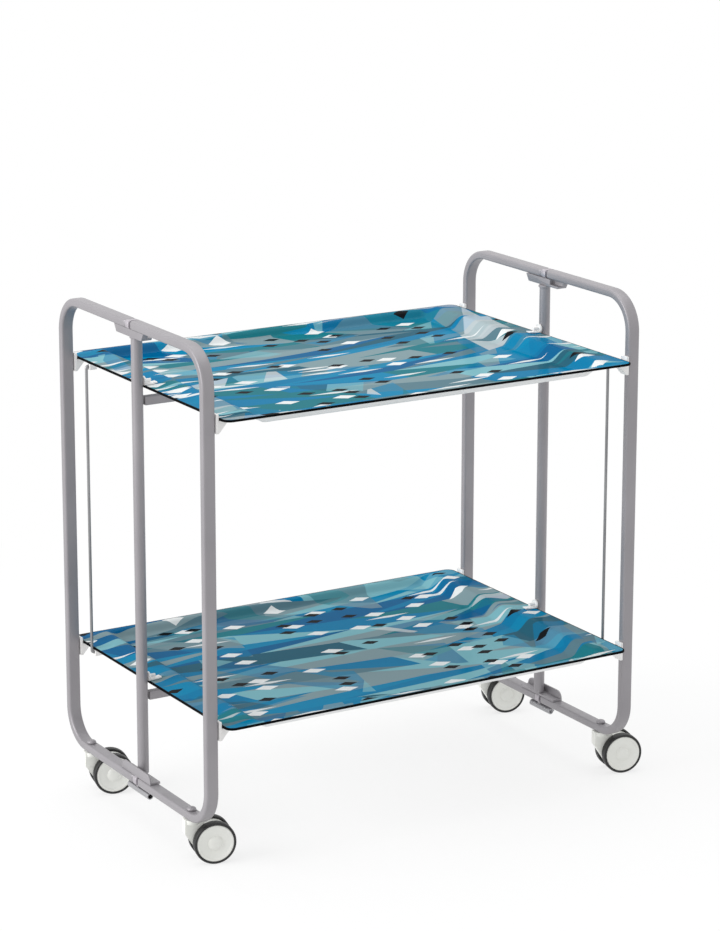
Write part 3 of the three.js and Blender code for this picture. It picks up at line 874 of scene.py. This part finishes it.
for place in cornerNames:
    makeWheels(place)
    refined("caster_" + place, place + "_caster", greyPlastic, roundings["caster"])
    makeStud(place)
print("casters made")

# Camera: near the photograph's own station point, dipped a little towards the trolley
cameraLook = {
    "place": (-2.0436, -3.4202, 1.5138),
    "azimuth": math.radians(30.86),
    "dip": math.radians(13.18),
    "focal": 3053,  # this and the next four are in pixels of the photograph
    "centreColumn": 348.7,
    "centreRow": 372.4,
    "imageWide": 720,
    "imageHigh": 931,
    "sensor": 36,
    "far": 60,  # metres
}
imageHigh = cameraLook["imageHigh"]
camera = bpy.data.objects.new("camera", bpy.data.cameras.new("camera"))
bpy.context.scene.collection.objects.link(camera)
camera.location = Vector(cameraLook["place"]) + Vector((middleX, 0, 0))
camera.rotation_euler = (math.pi / 2 - cameraLook["dip"], 0, -cameraLook["azimuth"])
camera.data.sensor_width = cameraLook["sensor"]
camera.data.lens = cameraLook["sensor"] * cameraLook["focal"] / imageHigh
camera.data.shift_x = (cameraLook["imageWide"] / 2 - cameraLook["centreColumn"]) / imageHigh
camera.data.shift_y = (cameraLook["centreRow"] - imageHigh / 2) / imageHigh
camera.data.clip_end = cameraLook["far"]
bpy.context.scene.camera = camera


# Rays that show the backdrop: from the camera, and in gloss and glass
def shownRays(tree):
    ray = tree.nodes.new("ShaderNodeLightPath")
    seen = Num(tree, ray.outputs["Is Camera Ray"])
    seen = seen + Num(tree, ray.outputs["Is Glossy Ray"]) + Num(tree, ray.outputs["Is Transmission Ray"])
    return seen.op("MINIMUM", 1.0)


# Floor: turns into plain white away from the trolley, and throws some light back up
floorLook = {
    "reach": 12,
    "albedo": 0.95,
    "rough": 0.9,
    "nearWhite": 0.74,
    "fadeFrom": 0.4,
    "fadeTo": 1.3,
    "lit": 0.75,
}
reach = floorLook["reach"]
floorCorners = [(-reach, -reach, 0), (reach, -reach, 0), (reach, reach, 0), (-reach, reach, 0)]
floorMesh = bpy.data.meshes.new("floor")
floorMesh.from_pydata(floorCorners, [], [(0, 1, 2, 3)])
floor = bpy.data.objects.new("floor", floorMesh)
bpy.context.scene.collection.objects.link(floor)
floorMaterial, floorTree, floorShader = newMaterial("pale_floor")
floorShader.inputs["Base Color"].default_value = (floorLook["albedo"],) * 3 + (1,)
floorShader.inputs["Roughness"].default_value = floorLook["rough"]
floorShader.inputs["Specular IOR Level"].default_value = 0.0
away = floorTree.nodes.new("ShaderNodeVectorMath")
away.operation = "LENGTH"
floorTree.links.new(objectPlace(floorTree), away.inputs[0])
fade = floorTree.nodes.new("ShaderNodeMapRange")
fade.interpolation_type = "SMOOTHSTEP"
fade.inputs["From Min"].default_value = floorLook["fadeFrom"]
fade.inputs["From Max"].default_value = floorLook["fadeTo"]
fade.inputs["To Min"].default_value = floorLook["nearWhite"]
floorTree.links.new(away.outputs["Value"], fade.inputs["Value"])
glow = floorTree.nodes.new("ShaderNodeEmission")
floorGlow = shownRays(floorTree) * (1.0 - floorLook["lit"]) + floorLook["lit"]
floorTree.links.new(floorGlow.socket, glow.inputs["Strength"])
blend = floorTree.nodes.new("ShaderNodeMixShader")
floorTree.links.new(fade.outputs[0], blend.inputs["Fac"])
floorTree.links.new(floorShader.outputs[0], blend.inputs[1])
floorTree.links.new(glow.outputs[0], blend.inputs[2])
floorTree.links.new(blend.outputs[0], floorTree.nodes["Material Output"].inputs["Surface"])
floorMesh.materials.append(floorMaterial)

# Lights: wide panels, all aimed at the middle of the trolley; places and sizes in metres
lightAim = (0, 0, 0.35)
lightLook = {
    "overhead": {"place": (0.2, 0.3, 3.2), "size": (3.4, 3.4), "power": 38},
    "left_window": {"place": (-3.6, 0.6, 1.5), "size": (2.2, 2.4), "power": 84},
    "right_fill": {"place": (3.4, -1.2, 1.4), "size": (1.6, 2.2), "power": 5},
}
for name, look in lightLook.items():
    light = bpy.data.lights.new(name, "AREA")
    light.shape = "RECTANGLE"
    light.size, light.size_y = look["size"]
    light.energy = look["power"]
    lamp = bpy.data.objects.new(name, light)
    bpy.context.scene.collection.objects.link(lamp)
    lamp.location = look["place"]
    lamp.rotation_euler = (Vector(lightAim) - Vector(look["place"])).to_track_quat("-Z", "Y").to_euler()

# Surroundings: white where the backdrop shows, dimmer as light on the trolley
worldLook = {"shown": 1.0, "lit": 0.7}
world = bpy.data.worlds.new("studio")
bpy.context.scene.world = world
world.use_nodes = True
background = world.node_tree.nodes["Background"]
strength = shownRays(world.node_tree) * (worldLook["shown"] - worldLook["lit"]) + worldLook["lit"]
world.node_tree.links.new(strength.socket, background.inputs["Strength"])
background.inputs["Color"].default_value = (1, 1, 1, 1)
bpy.context.scene.view_settings.view_transform = "Standard"

print("scene ready")
